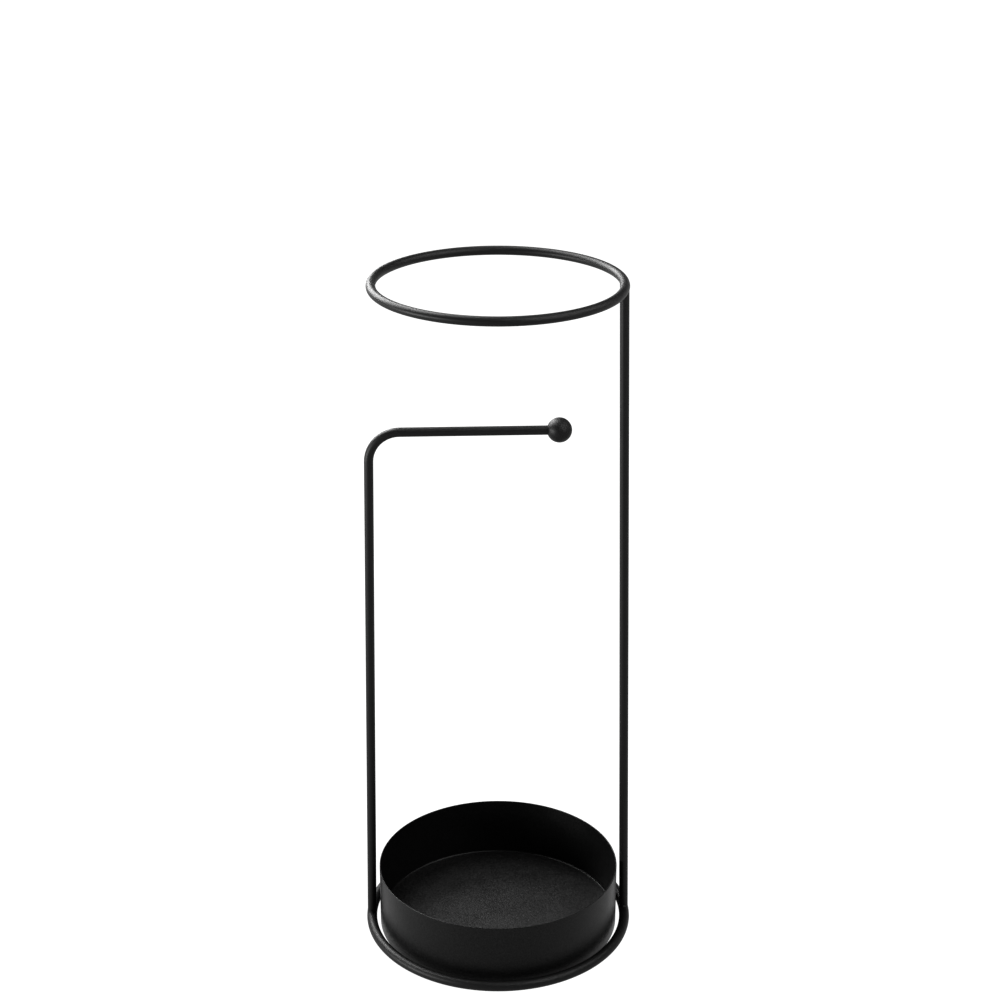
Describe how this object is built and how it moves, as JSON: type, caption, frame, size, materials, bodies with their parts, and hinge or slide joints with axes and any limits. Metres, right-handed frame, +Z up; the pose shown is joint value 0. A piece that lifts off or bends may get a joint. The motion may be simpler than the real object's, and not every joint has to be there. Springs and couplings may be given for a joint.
{
  "type": "umbrella stand",
  "caption": "Round-bar metal umbrella stand: a top ring holds long umbrellas, a side hook arm with a ball end holds folded ones, and a lift-out drip tray stands in the base ring.",
  "frame": {"origin": "on the floor, on the vertical axis of the two rings", "axes": "+Z up; +X along the hook arm, from the hook post towards the post that carries the top ring; -Y is the front"},
  "size_m": [0.25, 0.25, 0.63],
  "materials": {
    "frame_black": "satin black powder coat on steel bar",
    "tray_black": "fine-textured black powder coat on steel sheet",
    "screw_steel": "dull zinc-plated steel"
  },
  "bodies": {
    "stand": {"base_ring": "frame_black", "right_post": "frame_black", "hook_post": "frame_black", "top_ring": "frame_black", "post_welds": "frame_black", "knob_grub_screw": "screw_steel", "ball_knob": "frame_black"},
    "tray": {"tray_wall": "tray_black", "tray_floor": "tray_black", "tray_corner_bead": "tray_black"}
  },
  "joints": [
    {"name": "tray_lift", "type": "slide", "parent": "stand", "child": "tray", "axis": [0, 0, 1], "range_m": [0, 0.1]}
  ]
}
